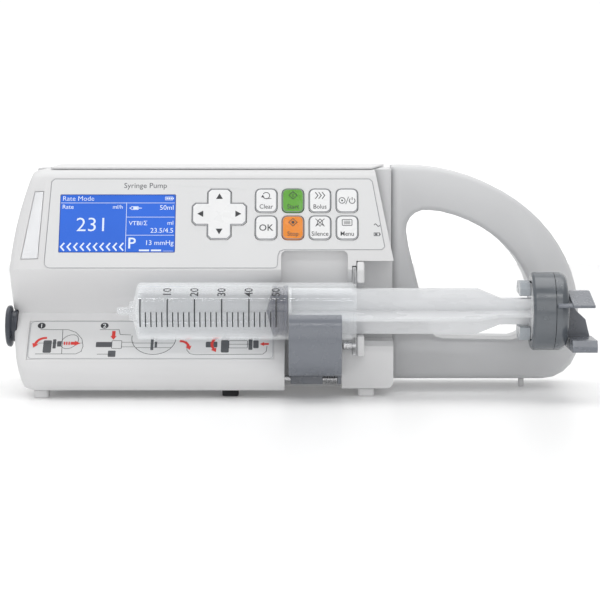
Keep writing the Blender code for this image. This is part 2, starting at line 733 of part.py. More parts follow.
def make_drive():
    screw = (0, SCREW_Y, SCREW_Z)
    tube = (0, TUBE_Y, TUBE_Z)
    guide = (0, SCREW_Y, ROD_Z)
    left, right = FRAME_X

    frame = add_object("drive_frame", box((left, 25, 24), (right, 53, 26.5)), "aluminium")
    join(frame, box((left, 25, 24), (left + 3, 53, 60)))
    join(frame, box((right - 2.7, 23.6, 24), (right, 53, 60)))
    for centre, radius, segments in ((screw, 6.3, 32), (guide, ROD_R + GAP, 24)):
        cut(frame, rod(left - 5, left + 8, radius, centre, segments))
        cut(frame, rod(right - 8, right + 5, radius, centre, segments))
    cut(frame, rod(right - 8, right + 5, TUBE_R + 0.6, tube, 32))
    add_object("guide_rod", rod(left + 0.2, right - 0.2, ROD_R, guide, 24), "steel")
    add_object("screw_bearing_left", ring_bar(left, left + 2.7, 3.3, 6.0, screw, 32), "steel")
    add_object("screw_bearing_right", ring_bar(right - 2.7, right, 3.3, 6.0, screw, 32), "steel")
    profile = [(left - 6.2, 0), (left - 6.2, 3), (left + 4, 3), (left + 4, SCREW_R)]
    profile += [(right - 4, SCREW_R), (right - 4, 3), (right + 0.5, 3), (right + 0.5, 0)]
    add_object("lead_screw", turned(profile, screw, 24), "steel", (0, SCREW_Y, SCREW_Z))

    gear = gear_outline(GEAR_TEETH, (SCREW_Y, SCREW_Z), math.pi / 2, 1.5, 0.5)
    wheel = add_object("screw_gear", prism(gear, 0, *GEAR_X), "brass", (0, SCREW_Y, SCREW_Z))
    cut(wheel, rod(-90, -70, 3.1, screw, 24))
    motor_z = SCREW_Z + GEAR_MODULE * (GEAR_TEETH + PINION_TEETH) / 2
    motor = (0, SCREW_Y, motor_z)
    teeth = gear_outline(PINION_TEETH, (SCREW_Y, motor_z), math.radians(15), 1.3, 0.45)
    pinion = add_object("motor_pinion", prism(teeth, 0, *GEAR_X), "brass", (0, SCREW_Y, motor_z))
    join(pinion, rod(-87.7, -78.9, 2.4, motor, 16))
    can = [(-124, 0), (-124, 12.5), (-122.5, 14), (-89.5, 14), (-88, 12.5), (-88, 0)]
    add_object("motor", turned(can, motor, 28), "steel")

    low, high = CARRIAGE_X
    block = add_object("carriage", box((low, 23.8, 28.5), (high, 57.6, 58.2)), "grey", tube)
    cut(block, rod(low - 5, high + 5, SCREW_R + 0.5, screw, 24))
    cut(block, rod(low - 5, high + 5, ROD_R + 0.06, guide, 24))
    cut(block, rod(27.7, high + 5, TUBE_R + 0.1, tube, 32))
    cut(block, rod(low - 5, high + 5, 2.4, tube, 20))
    cut(block, box((low + 3.4, 37.8, 44.5), (low + 14.2, 55.6, 65)))
    join(block, rod(low + 2, high - 2, 1.0, (0, *NUT_PIVOT), 12))
    jaw = [(38.2, 47.4), (49.5, 47.4), (50.4, 45.6), (54.0, 45.6), (54.6, 49.0), (52.8, 53.0)]
    jaw += [(49.8, 57.4), (38.2, 57.4)]
    jaw_pivot = (low + 9, *NUT_PIVOT)
    nut = add_object("half_nut", prism(jaw, 0, low + 3.8, low + 13.8), "brass", jaw_pivot)
    cut(nut, rod(low - 5, high + 5, SCREW_R + 0.25, screw, 24))
    cut(nut, rod(low - 5, high + 5, 1.25, (0, *NUT_PIVOT), 12))
    add_object("drive_tube", ring_bar(28, 138.2, 3.6, TUBE_R, tube, 32), "steel", tube)
    release = add_object("release_rod", rod(low - 5.6, 134, 1.5, tube, 12), "steel", tube)
    cross = box((low - 5, TUBE_Y - 0.8, TUBE_Z - 5), (low - 1.4, TUBE_Y + 0.8, TUBE_Z + 5))
    join(release, cross)
    bush = [(47.2, TUBE_R + 0.05), (47.2, 6.9), (51.8, 6.9), (51.8, 7.6), (53.2, 7.3)]
    bush.append((53.2, TUBE_R + 0.05))
    add_object("tube_bush", turned(bush, tube, 32), "dark")


def make_pusher():
    centre = (0, 0, AXIS_Z)
    tube = (0, TUBE_Y, TUBE_Z)
    shell = [(DRUM_LEFT, 16.6), (DRUM_LEFT, DRUM_R - 1.2), (DRUM_LEFT + 1.2, DRUM_R)]
    shell += [(DRUM_SEAM, DRUM_R), (DRUM_SEAM, 0), (132, 0), (132, 16.6)]
    ring = add_object("pusher_ring", turned(shell, centre, 48), "grey", tube)
    arm = rounded_box((12, 37.6), (38, 55), 4)
    join(ring, prism(arm, 0, 132.6, DRUM_SEAM))
    cut(ring, rod(120, 150, TUBE_R + 0.1, tube, 32))
    for rise in (CLAW_PIVOT_RISE, -CLAW_PIVOT_RISE):
        cut(ring, rod(120, 136.5, 1.5, (0, CLAW_PIVOT_Y, AXIS_Z + rise), 16))
    cut(ring, rod(130, 136.3, 5.3, centre, 24))
    add_object("force_sensor", rod(132.1, 136, 5.0, centre, 24), "steel", centre)
    add_object("pressure_plate", rod(129.4, 131.7, 13.0, centre, 36, chamfer=0.5), "steel", centre)

    cap = [(DRUM_SEAM + GAP, 0), (DRUM_SEAM + GAP, DRUM_R)]
    for angle in (0, 0.5, 1.05, 1.571):
        cap.append((DRUM_RIGHT - 4 + 4 * math.sin(angle), DRUM_R - 4 + 4 * math.cos(angle)))
    cap += [(DRUM_RIGHT, 0)]
    lid = add_object("pusher_cap", turned(cap, centre, 48), "grey", tube)
    cut(lid, box((LEVER_X - 3.9, -5, 37), (150, 5, 58)))
    cut(lid, rod(-9, 9, 1.9, (LEVER_X, 0, AXIS_Z), 16, axis="Y"))
    add_object("lever_pin", rod(-8.7, 8.7, 1.6, (LEVER_X, 0, AXIS_Z), 16, axis="Y"), "steel")


def make_claws():
    """Two hooks that swing sideways to hold or free the plunger's thumb flange."""
    hook = [(17.9, 11.5), (17.2, 13.6), (13.0, 15.9), (4.0, 16.2), (-3.4, 15.6), (-5.4, 12.6)]
    hook += [(-4.6, 9.0), (-2.4, 8.5), (3.6, 8.5), (8.6, 9.2), (15.5, 8.9), (17.2, 9.6)]
    for name, side in (("upper_claw", 1), ("lower_claw", -1)):
        pivot = (124, CLAW_PIVOT_Y, AXIS_Z + side * CLAW_PIVOT_RISE)
        outline = [(y, AXIS_Z + side * z) for y, z in hook]
        claw = add_object(name, prism(outline, 0, 120.6, 126.2), "grey", pivot)
        join(claw, rod(125, 136, 1.2, (0, pivot[1], pivot[2]), 16))


def make_levers():
    """Two finger levers on one pin that are squeezed together."""
    pin = (LEVER_X, 0, AXIS_Z)
    upper_side = [(-27, 53.2), (-26, 51.6), (-20, 53.6), (4.8, 56.8), (5.2, 58.8), (-1, 58.8)]
    paddle = prism(upper_side, 0, 146.8, 159.0)
    upper = add_object("upper_lever", paddle, "grey", pin)
    tip = [(-26.8, 53.1), (-25.9, 51.8), (-22.2, 53.1), (-22.2, 54.0)]
    join(upper, prism(tip, 0, 139.0, 147.5))
    arm = [(142, 50.4), (146.4, 49.4), (150.5, 52.2), (155, 57.2), (147.2, 57.2), (146.6, 54.2)]
    arm.append((141.6, 50.3))
    join(upper, prism(arm, 1, -4.4, -0.4), rod(-4.6, -0.2, 3.4, pin, 20, axis="Y"))
    cut(upper, rod(-9, 9, 1.75, pin, 16, axis="Y"))

    lower_side = [(-26, 30.6), (-25, 27.5), (3.5, 27.5), (5, 30.4), (3.5, 33.6), (-24, 34.0)]
    lower = add_object("lower_lever", prism(lower_side, 0, 147.0, 160.5), "grey", pin)
    web = [(142.2, 44.6), (147.2, 45.2), (147.2, 31.0), (160.0, 31.0), (158.2, 38.0), (157.0, 43.0)]
    web += [(152.0, 47.6), (150.4, 50.0), (147.0, 50.6), (144.4, 50.4)]
    join(lower, prism(web, 1, 0.4, 4.4), rod(0.2, 4.6, 3.4, pin, 20, axis="Y"))
    cut(lower, rod(-9, 9, 1.75, pin, 16, axis="Y"))


# ----------------------------------------------------------- other fittings

def make_fittings():
    hook = [(-157.7, 0), (-157.7, 9.0), (-160.6, 8.6), (-160.9, 10.8), (-161.5, 11.75)]
    hook += [(-163.2, 11.4), (-163.8, 10.4), (-163.8, 0)]
    add_object("line_hook", turned(hook, HOOK_PLACE, 32), "dark")
    feet = {
        "foot_front_left": ((-146.5, -3.5), (-138.5, 7.0), "white"),
        "foot_front_middle": ((-43.0, 3.0), (-34.0, 12.0), "rubber"),
        "foot_front_right": ((32.0, 3.5), (41.0, 12.5), "white"),
        "foot_rear_left": ((-141.0, 70.0), (-129.0, 81.0), "rubber"),
        "foot_rear_right": ((32.0, 70.0), (44.0, 81.0), "rubber"),
    }
    for name, (low, high, finish) in feet.items():
        outline = rounded_box(low, high, 1.5)
        add_object(name, prism(outline, 2, 0, CASE_BOTTOM - GAP), finish)
    add_object("handle_foot", rod(0, 4.7, 1.6, (126.2, 45, 0), 16, axis="Z"), "white")
    add_object("battery_pack", box((-56, 60, 20), (16, 84.6, 64)), "dark")
    inlet = add_object("ac_inlet", back_cutter(INLET_HOLE, 0.0, 2.0, 70.0, 88.0), "dark")
    cut(inlet, back_cutter(((-118.5, 22.0), (-95.5, 38.0)), 0.0, 4.0, 74.0, 95.0))


make_front_case()
make_rear_case()
make_covers()
make_controls()
make_handle("handle_front", HANDLE_Y[0], CASE_SPLIT_Y, HANDLE_Y[0], CASE_SPLIT_Y)
make_handle("handle_rear", CASE_SPLIT_Y + GAP, HANDLE_Y[1], HANDLE_Y[1], CASE_SPLIT_Y + GAP)
make_syringe()
make_clamp()
make_flange_clip()
make_drive()
make_pusher()
make_claws()
make_levers()
make_fittings()
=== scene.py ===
"""Looks of a bench syringe pump: rounded shells, printed panel, display, syringe and studio."""
import json
import math

import bmesh
import bpy
from mathutils import Matrix, Vector


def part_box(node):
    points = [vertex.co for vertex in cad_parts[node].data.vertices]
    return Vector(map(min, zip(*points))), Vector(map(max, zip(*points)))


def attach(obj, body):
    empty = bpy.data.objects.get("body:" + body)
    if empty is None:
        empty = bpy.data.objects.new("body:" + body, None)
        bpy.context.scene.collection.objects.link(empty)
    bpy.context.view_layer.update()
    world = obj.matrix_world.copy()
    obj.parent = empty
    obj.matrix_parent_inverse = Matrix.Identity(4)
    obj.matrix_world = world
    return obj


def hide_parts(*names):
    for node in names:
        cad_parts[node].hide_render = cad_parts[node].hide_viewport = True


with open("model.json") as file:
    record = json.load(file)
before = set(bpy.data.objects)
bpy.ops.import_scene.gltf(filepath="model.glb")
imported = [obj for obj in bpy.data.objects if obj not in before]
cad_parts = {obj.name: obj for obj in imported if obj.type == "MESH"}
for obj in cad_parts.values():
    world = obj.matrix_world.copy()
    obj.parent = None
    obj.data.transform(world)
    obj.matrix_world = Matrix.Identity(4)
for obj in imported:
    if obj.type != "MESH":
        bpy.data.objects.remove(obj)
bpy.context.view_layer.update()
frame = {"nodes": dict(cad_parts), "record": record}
nodes = frame["nodes"]

MM = 0.001
SLOPE = math.radians(25.7)
LIP = (1.0, 70.4)
BARREL_R = 15.65
AXIS_Z = 47.6
INK = 0.03
INK_LAYER = 0.02

# The CAD is laid out with the syringe axis at Y = 0 and the barrel flange ending at X = 30.7.
barrel_low, barrel_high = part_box("syringe_barrel")
SHIFT = Vector((barrel_high.x / MM - 30.7, (barrel_low.y + barrel_high.y) / 2 / MM, 0))


def at(x, y, z):
    """A layout place in millimetres as a place in the frame in metres."""
    return (Vector((x, y, z)) + SHIFT) * MM


def on_slope(x, up, out=0.0):
    y = LIP[0] + up * math.sin(SLOPE) - out * math.cos(SLOPE)
    z = LIP[1] + up * math.cos(SLOPE) + out * math.sin(SLOPE)
    return at(x, y, z)


# ---------------------------------------------------------------- materials

def graph(name):
    """A new material, its node tree, and its Principled shader."""
    made = bpy.data.materials.new(name)
    made.use_nodes = True
    tree = made.node_tree
    return made, tree, tree.nodes["Principled BSDF"]


def noise(tree, scale, detail=3.0, stretch=None):
    """A noise texture fed by the object's own coordinates."""
    place = tree.nodes.new("ShaderNodeTexCoord")
    texture = tree.nodes.new("ShaderNodeTexNoise")
    texture.inputs["Scale"].default_value = scale
    texture.inputs["Detail"].default_value = detail
    if stretch:
        mapping = tree.nodes.new("ShaderNodeMapping")
        mapping.inputs["Scale"].default_value = stretch
        tree.links.new(place.outputs["Object"], mapping.inputs["Vector"])
        tree.links.new(mapping.outputs["Vector"], texture.inputs["Vector"])
    else:
        tree.links.new(place.outputs["Object"], texture.inputs["Vector"])
    return texture


def spread(tree, source, low, high):
    """Map a 0-1 texture value onto low-high."""
    node = tree.nodes.new("ShaderNodeMapRange")
    node.inputs["From Min"].default_value = 0.3
    node.inputs["From Max"].default_value = 0.7
    node.inputs["To Min"].default_value = low
    node.inputs["To Max"].default_value = high
    tree.links.new(source, node.inputs["Value"])
    return node.outputs["Result"]


def tint(tree, shader, colour, share, factor):
    """Base colour that drifts between two close shades."""
    ramp = tree.nodes.new("ShaderNodeMix")
    ramp.data_type = "RGBA"
    dark = [max(channel * (1 - share), 0) for channel in colour]
    light = [min(channel * (1 + share), 1) for channel in colour]
    ramp.inputs["A"].default_value = (*dark, 1)
    ramp.inputs["B"].default_value = (*light, 1)
    tree.links.new(factor, ramp.inputs["Factor"])
    tree.links.new(ramp.outputs["Result"], shader.inputs["Base Color"])
    return ramp


def bump(tree, shader, height, depth):
    node = tree.nodes.new("ShaderNodeBump")
    node.inputs["Strength"].default_value = 1.0
    node.inputs["Distance"].default_value = depth
    tree.links.new(height, node.inputs["Height"])
    tree.links.new(node.outputs["Normal"], shader.inputs["Normal"])
    return node


def moulded(name, colour, rough, grain=2600.0, depth=0.000012, share=0.012, specular=0.45):
    """Moulded plastic: a fine spark-eroded grain, faint flow marks, slightly uneven gloss."""
    made, tree, shader = graph(name)
    flow = noise(tree, 22.0, 2.0)
    fine = noise(tree, grain, 2.0)
    tint(tree, shader, colour, share, spread(tree, flow.outputs["Fac"], 0, 1))
    wear = noise(tree, 160.0, 4.0)
    gloss = spread(tree, wear.outputs["Fac"], rough - 0.05, rough + 0.05)
    tree.links.new(gloss, shader.inputs["Roughness"])
    bump(tree, shader, fine.outputs["Fac"], depth)
    shader.inputs["Specular IOR Level"].default_value = specular
    return made


def metal(name, colour, rough, stretch):
    """Turned or drawn metal with fine lines along or around the piece."""
    made, tree, shader = graph(name)
    lines = noise(tree, 900.0, 3.0, stretch)
    cloud = noise(tree, 60.0, 3.0)
    tint(tree, shader, colour, 0.06, spread(tree, cloud.outputs["Fac"], 0, 1))
    gloss = spread(tree, lines.outputs["Fac"], rough - 0.08, rough + 0.1)
    tree.links.new(gloss, shader.inputs["Roughness"])
    bump(tree, shader, lines.outputs["Fac"], 0.000008)
    shader.inputs["Metallic"].default_value = 1.0
    return made


def printed(name, colour, rough=0.45):
    """Screen-printed ink: nearly even, with a faint mesh texture."""
    made, tree, shader = graph(name)
    mesh = noise(tree, 3200.0, 1.0)
    tint(tree, shader, colour, 0.05, spread(tree, mesh.outputs["Fac"], 0, 1))
    gloss = spread(tree, mesh.outputs["Fac"], rough - 0.05, rough + 0.05)
    tree.links.new(gloss, shader.inputs["Roughness"])
    return made


def lit(name, colour, strength, rough=0.4, matrix=0.08):
    """A backlit display surface with its fine dot matrix."""
    made, tree, shader = graph(name)
    place = tree.nodes.new("ShaderNodeTexCoord")
    cells = tree.nodes.new("ShaderNodeTexVoronoi")
    cells.inputs["Scale"].default_value = 3300.0
    cells.inputs["Randomness"].default_value = 0.0
    tree.links.new(place.outputs["Object"], cells.inputs["Vector"])
    glow = noise(tree, 24.0, 1.0)
    tint(tree, shader, colour, matrix, spread(tree, glow.outputs["Fac"], 0, 1))
    gloss = spread(tree, cells.outputs["Distance"], rough * 0.8, rough * 1.2)
    tree.links.new(gloss, shader.inputs["Roughness"])
    shader.inputs["Emission Color"].default_value = (*colour, 1)
    shader.inputs["Emission Strength"].default_value = strength
    shader.inputs["Specular IOR Level"].default_value = 0.3
    return made


def see_through(name, colour, milk, edge_milk, rough, painted_glow=0.0):
    """Clear plastic: light passes straight through, edges look milky, and the skin is glossy; the
    last argument is a painted glow, an emission that lightens the plastic as though lit, though it
    is no lamp.
    """
    made, tree, shader = graph(name)
    cloud = noise(tree, 140.0, 3.0, (0.3, 1, 1))
    tint(tree, shader, colour, 0.015, spread(tree, cloud.outputs["Fac"], 0, 1))
    gloss = spread(tree, cloud.outputs["Fac"], rough, rough * 1.6)
    tree.links.new(gloss, shader.inputs["Roughness"])
    # Painted glow: an even emission that brightens the plastic as if it were lit, though it is no
    # lamp.
    shader.inputs["Emission Color"].default_value = (*colour, 1)
    shader.inputs["Emission Strength"].default_value = painted_glow
    clear = tree.nodes.new("ShaderNodeBsdfTransparent")
    clear.inputs["Color"].default_value = (0.985, 0.99, 0.995, 1)
    facing = tree.nodes.new("ShaderNodeLayerWeight")
    facing.inputs["Blend"].default_value = 0.35
    amount = tree.nodes.new("ShaderNodeMapRange")
    amount.inputs["To Min"].default_value = milk
    amount.inputs["To Max"].default_value = edge_milk
    steep = tree.nodes.new("ShaderNodeMath")
    steep.operation = "POWER"
    steep.inputs[1].default_value = 2.0
    tree.links.new(facing.outputs["Facing"], steep.inputs[0])
    tree.links.new(steep.outputs["Value"], amount.inputs["Value"])
    body = tree.nodes.new("ShaderNodeMixShader")
    tree.links.new(amount.outputs["Result"], body.inputs["Fac"])
    tree.links.new(clear.outputs["BSDF"], body.inputs[1])
    tree.links.new(shader.outputs["BSDF"], body.inputs[2])
    skin = tree.nodes.new("ShaderNodeBsdfGlossy")
    skin.inputs["Roughness"].default_value = rough
    grazing = tree.nodes.new("ShaderNodeLayerWeight")
    grazing.inputs["Blend"].default_value = 0.12
    mirror = tree.nodes.new("ShaderNodeMapRange")
    mirror.inputs["To Min"].default_value = 0.035
    mirror.inputs["To Max"].default_value = 0.35
    tree.links.new(grazing.outputs["Facing"], mirror.inputs["Value"])
    whole = tree.nodes.new("ShaderNodeMixShader")
    tree.links.new(mirror.outputs["Result"], whole.inputs["Fac"])
    tree.links.new(body.outputs["Shader"], whole.inputs[1])
    tree.links.new(skin.outputs["BSDF"], whole.inputs[2])
    tree.links.new(whole.outputs["Shader"], tree.nodes["Material Output"].inputs["Surface"])
    return made


WHITE = moulded("white_plastic", (0.735, 0.735, 0.74), 0.38)
PALE = moulded("pale_plastic", (0.665, 0.67, 0.68), 0.34)
FILM = moulded("panel_film", (0.755, 0.76, 0.765), 0.42, 3600.0, 0.000008)
KEY = moulded("key_white", (0.86, 0.865, 0.87), 0.30, 3600.0, 0.000006)
GREEN = moulded("key_green", (0.085, 0.34, 0.010), 0.24, 3600.0, 0.000006, 0.12)
ORANGE = moulded("key_orange", (0.82, 0.24, 0.004), 0.24, 3600.0, 0.000006, 0.08)
GREY = moulded("grey_plastic", (0.172, 0.186, 0.215), 0.26, 2200.0, 0.000016, 0.03, specular=0.8)
DRUM = moulded("drum_plastic", (0.100, 0.114, 0.130), 0.24, 2200.0, 0.000010, 0.03, specular=1.0)
SILVER = moulded("claw_plastic", (0.40, 0.43, 0.46), 0.28, 2200.0, 0.000010, 0.03)
DARK = moulded("dark_plastic", (0.03, 0.031, 0.034), 0.45, 2200.0, 0.000016, 0.08)
HOOK = moulded("hook_plastic", (0.055, 0.062, 0.078), 0.30, 2200.0, 0.000012, 0.08)
RUBBER = moulded("black_rubber", (0.022, 0.023, 0.025), 0.65, 1500.0, 0.00003, 0.12)
STOPPER = moulded("stopper_rubber", (0.012, 0.020, 0.060), 0.42, 1500.0, 0.00001, 0.15)
BOARD = moulded("circuit_board", (0.015, 0.16, 0.07), 0.4, 900.0, 0.00002, 0.2)
STEEL = metal("steel", (0.62, 0.62, 0.63), 0.26, (0.03, 1, 1))
BRASS = metal("brass", (0.75, 0.58, 0.28), 0.3, (1, 0.1, 0.1))
ALUMINIUM = metal("aluminium", (0.72, 0.73, 0.74), 0.4, (0.2, 1, 1))
# The barrel's last argument, 0.35, is a painted glow that lightens the barrel as though lit.
BARREL = see_through("barrel_plastic", (0.93, 0.94, 0.95), 0.055, 0.75, 0.06, 0.35)
PLUNGER = see_through("plunger_plastic", (0.90, 0.91, 0.925), 0.70, 0.94, 0.22)
LENS = see_through("lamp_lens", (0.88, 0.89, 0.91), 0.75, 0.95, 0.18)
SCREEN = lit("screen_blue", (0.022, 0.125, 0.62), 0.16)
SCREEN_WHITE = lit("screen_white", (0.72, 0.80, 0.92), 0.12, 0.3, 0.02)
SCREEN_DARK = lit("screen_dark", (0.02, 0.06, 0.32), 0.05)
BLACK_INK = printed("black_ink", (0.035, 0.037, 0.042))
GREY_INK = printed("grey_ink", (0.085, 0.09, 0.10))
LINE_INK = printed("line_ink", (0.22, 0.23, 0.25))
FRAME_INK = printed("frame_ink", (0.42, 0.43, 0.45))
WHITE_INK = printed("white_ink", (0.86, 0.87, 0.88))
RED_INK = printed("red_ink", (0.72, 0.04, 0.03))

NODE_LOOKS = {
    "front_case": WHITE, "rear_case": WHITE, "top_plate": WHITE, "battery_door": WHITE,
    "handle_front": PALE, "handle_rear": PALE, "membrane_panel": FILM, "instruction_label": FILM,
    "lcd_window": SCREEN, "lcd_module": DARK, "main_board": BOARD, "key_board": BOARD,
    "alarm_lens": LENS, "line_hook": HOOK, "foot_front_left": WHITE, "foot_front_middle": RUBBER,
    "foot_front_right": WHITE, "foot_rear_left": RUBBER, "foot_rear_right": RUBBER,
    "handle_foot": WHITE, "barrel_clamp": GREY, "clamp_pin": STEEL, "clamp_spring": STEEL,
    "flange_clip": WHITE, "syringe_barrel": BARREL, "syringe_plunger": PLUNGER,
    "syringe_stopper": STOPPER, "drive_tube": STEEL, "tube_bush": DARK, "release_rod": STEEL,
    "pusher_ring": DRUM, "pusher_cap": DRUM, "pressure_plate": STEEL, "force_sensor": STEEL,
    "upper_claw": SILVER, "lower_claw": SILVER, "upper_lever": GREY, "lower_lever": GREY,
    "lever_pin": STEEL, "carriage": DARK, "half_nut": BRASS, "lead_screw": STEEL,
    "screw_gear": BRASS, "screw_bearing_left": STEEL, "screw_bearing_right": STEEL,
    "guide_rod": STEEL, "drive_frame": ALUMINIUM, "motor": STEEL, "motor_pinion": BRASS,
    "battery_pack": DARK, "ac_inlet": DARK, "key_start": GREEN, "key_stop": ORANGE,
}
BODY_OF = {}
for body_name, body_nodes in frame["record"]["behaviour"]["bodies"].items():
    BODY_OF.update(dict.fromkeys(body_nodes, body_name))


# ------------------------------------------------------------ refined pieces

# Nodes that show, with the width of their edge rounding in millimetres.
ROUNDING = {
    "front_case": 0.7, "rear_case": 0.7, "top_plate": 0.5, "battery_door": 0.4,
    "handle_front": 1.6, "handle_rear": 0.3, "membrane_panel": 0.12, "flange_clip": 0.9,
    "barrel_clamp": 0.3, "upper_lever": 0.45, "lower_lever": 1.3, "upper_claw": 1.6,
    "lower_claw": 1.6, "pusher_ring": 0.8, "pusher_cap": 1.6, "line_hook": 0.5,
    "syringe_barrel": 0.2, "syringe_plunger": 0.3, "syringe_stopper": 0.3,
    "drive_tube": 0.3, "tube_bush": 0.2, "pressure_plate": 0.2, "ac_inlet": 0.4,
    "foot_front_left": 0.5, "foot_front_middle": 0.5, "foot_front_right": 0.5,
    "foot_rear_left": 0.5, "foot_rear_right": 0.5, "alarm_lens": 0.25,
    "clamp_pin": 0.3, "lever_pin": 0.3, "handle_foot": 0.3, "clamp_spring": 0,
    "instruction_label": 0, "lcd_window": 0.15, "lead_screw": 0.2, "guide_rod": 0.2,
}

# Pieces whose shortest edges would otherwise hold back the rounding of all the others.
FREE_BEVELS = ("barrel_clamp", "upper_lever")


def new_piece(name, bm, material, body):
    """Make a mesh object from a bmesh in the frame, riding on a body."""
    mesh = bpy.data.meshes.new(name)
    bm.to_mesh(mesh)
    bm.free()
    mesh.materials.append(material)
    piece = bpy.data.objects.new(name, mesh)
    bpy.context.scene.collection.objects.link(piece)
    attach(piece, body)
    return piece


def smooth(piece, angle=30):
    """Smooth shading that keeps edges sharper than the angle, in degrees."""
    piece.data.shade_smooth()
    piece.data.set_sharp_from_angle(angle=math.radians(angle))
    return piece


def rounded(piece, width, segments=3, angle=34):
    """Rounded edges with clean shading."""
    smooth(piece, angle)
    edge = piece.modifiers.new("rounded_edges", "BEVEL")
    edge.width = width * MM
    edge.segments = segments
    edge.limit_method = "ANGLE"
    edge.angle_limit = math.radians(angle)
    edge.use_clamp_overlap = True
    edge.harden_normals = True
    edge.miter_outer = "MITER_ARC"
    return piece


def refined(node):
    """The CAD node with its flat triangles merged and its edges rounded."""
    bm = bmesh.new()
    bm.from_mesh(nodes[node].data)
    bmesh.ops.remove_doubles(bm, verts=bm.verts, dist=3e-6)
    bmesh.ops.dissolve_limit(bm, angle_limit=math.radians(0.6), verts=bm.verts, edges=bm.edges)
    bmesh.ops.recalc_face_normals(bm, faces=bm.faces)
    piece = new_piece(node + "_fine", bm, NODE_LOOKS.get(node, KEY), BODY_OF[node])
    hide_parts(node)
    if ROUNDING.get(node):
        rounded(piece, ROUNDING[node])
        piece.modifiers["rounded_edges"].use_clamp_overlap = node not in FREE_BEVELS
    else:
        smooth(piece, 34)
    return piece


# The case's right end leans in from its foot to its top, in front of the handle.
LEAN_FOOT = at(51.5, 0, 75.2)
LEAN_TOP = at(41.8, 0, 124.0)
LEAN_BACK = at(0, 38.0, 0).y
LEAN_NORMAL = (LEAN_TOP - LEAN_FOOT).cross(Vector((0, -1, 0))).normalized()


def paint_case_end(piece):
    """Behind its leaning right end the case is in the handle's colour, as far as the top."""
    bm = bmesh.new()
    bm.from_mesh(piece.data)
    behind = [face for face in bm.faces if face.calc_center_median().y > LEAN_BACK - 0.1 * MM]
    parts = {item for face in behind for item in (*face.verts, *face.edges, face)}
    bmesh.ops.bisect_plane(bm, geom=list(parts), plane_co=LEAN_FOOT, plane_no=LEAN_NORMAL)
    for face in bm.faces:
        middle = face.calc_center_median()
        beyond = (middle - LEAN_FOOT).dot(LEAN_NORMAL)
        if middle.y > LEAN_BACK - 0.1 * MM and beyond > 0.05 * MM:
            face.material_index = 1
    bm.to_mesh(piece.data)
    bm.free()
    piece.data.materials.append(PALE)


# ----------------------------------------------------------------- line art

def ribbon(bm, points, width, closed=False):
    """A flat stroke of even width along 2-D points."""
    count = len(points)
    sides = []
    for i, point in enumerate(points):
        here = Vector(point)
        before = Vector(points[i - 1]) if closed or i else here
        after = Vector(points[(i + 1) % count]) if closed or i < count - 1 else here
        first = (here - before).normalized() if before != here else (after - here).normalized()
        second = (after - here).normalized() if after != here else first
        normal = Vector((-first.y - second.y, first.x + second.x))
        if normal.length < 1e-6:
            normal = Vector((-first.y, first.x))
        normal.normalize()
        stretch = 1 / max(abs(normal.dot(Vector((-first.y, first.x)))), 0.5)
        offset = normal * (width / 2 * stretch)
        sides.append((bm.verts.new((*(here + offset), 0)), bm.verts.new((*(here - offset), 0))))
    last = count if closed else count - 1
    for i in range(last):
        a = sides[i]
        b = sides[(i + 1) % count]
        bm.faces.new((a[0], a[1], b[1], b[0]))


def patch(bm, points):
    bm.faces.new([bm.verts.new((*point, 0)) for point in points])


def arc(centre, radius, start, end, count=12):
    points = []
    for k in range(count + 1):
        angle = math.radians(start + (end - start) * k / count)
        points.append((centre[0] + radius * math.cos(angle), centre[1] + radius * math.sin(angle)))
    return points


def rectangle(left, low, right, high):
    return [(left, low), (right, low), (right, high), (left, high)]


def round_rectangle(left, low, right, high, radius, count=4):
    points = arc((right - radius, low + radius), radius, -90, 0, count)
    points += arc((right - radius, high - radius), radius, 0, 90, count)
    points += arc((left + radius, high - radius), radius, 90, 180, count)
    points += arc((left + radius, low + radius), radius, 180, 270, count)
    return points


def words(bm, text, size, x, y, align="LEFT", wide=1.0, bold=0.0):
    """Lettering from the built-in font, size being its full em height."""
    curve = bpy.data.curves.new("words", "FONT")
    curve.body = text
    curve.size = size
    curve.align_x = align
    curve.offset = bold
    curve.resolution_u = 3
    holder = bpy.data.objects.new("words", curve)
    bpy.context.scene.collection.objects.link(holder)
    bpy.context.view_layer.update()
    seen = holder.evaluated_get(bpy.context.evaluated_depsgraph_get())
    mesh = bpy.data.meshes.new_from_object(seen)
    mesh.transform(Matrix.Translation((x, y, 0)) @ Matrix.Diagonal((wide, 1, 1, 1)))
    bm.from_mesh(mesh)
    bpy.data.objects.remove(holder, do_unlink=True)
    bpy.data.meshes.remove(mesh)


def lay(name, bm, mapping, material, body):
    """Lay flat art on a surface: mapping turns (x, y) in mm into a place in the frame."""
    for vert in bm.verts:
        vert.co = mapping(vert.co.x, vert.co.y)
    return new_piece(name, bm, material, body)


def slope_map(out):
    return lambda x, up: on_slope(x, up, out)


# ------------------------------------------------------------------ display

LCD_LEFT, LCD_TOP = -133.1, 44.7


def lcd_map(x, y):
    """Display art is drawn from its top left corner, with y growing upwards from minus."""
    return on_slope(LCD_LEFT + x, LCD_TOP + y, INK)


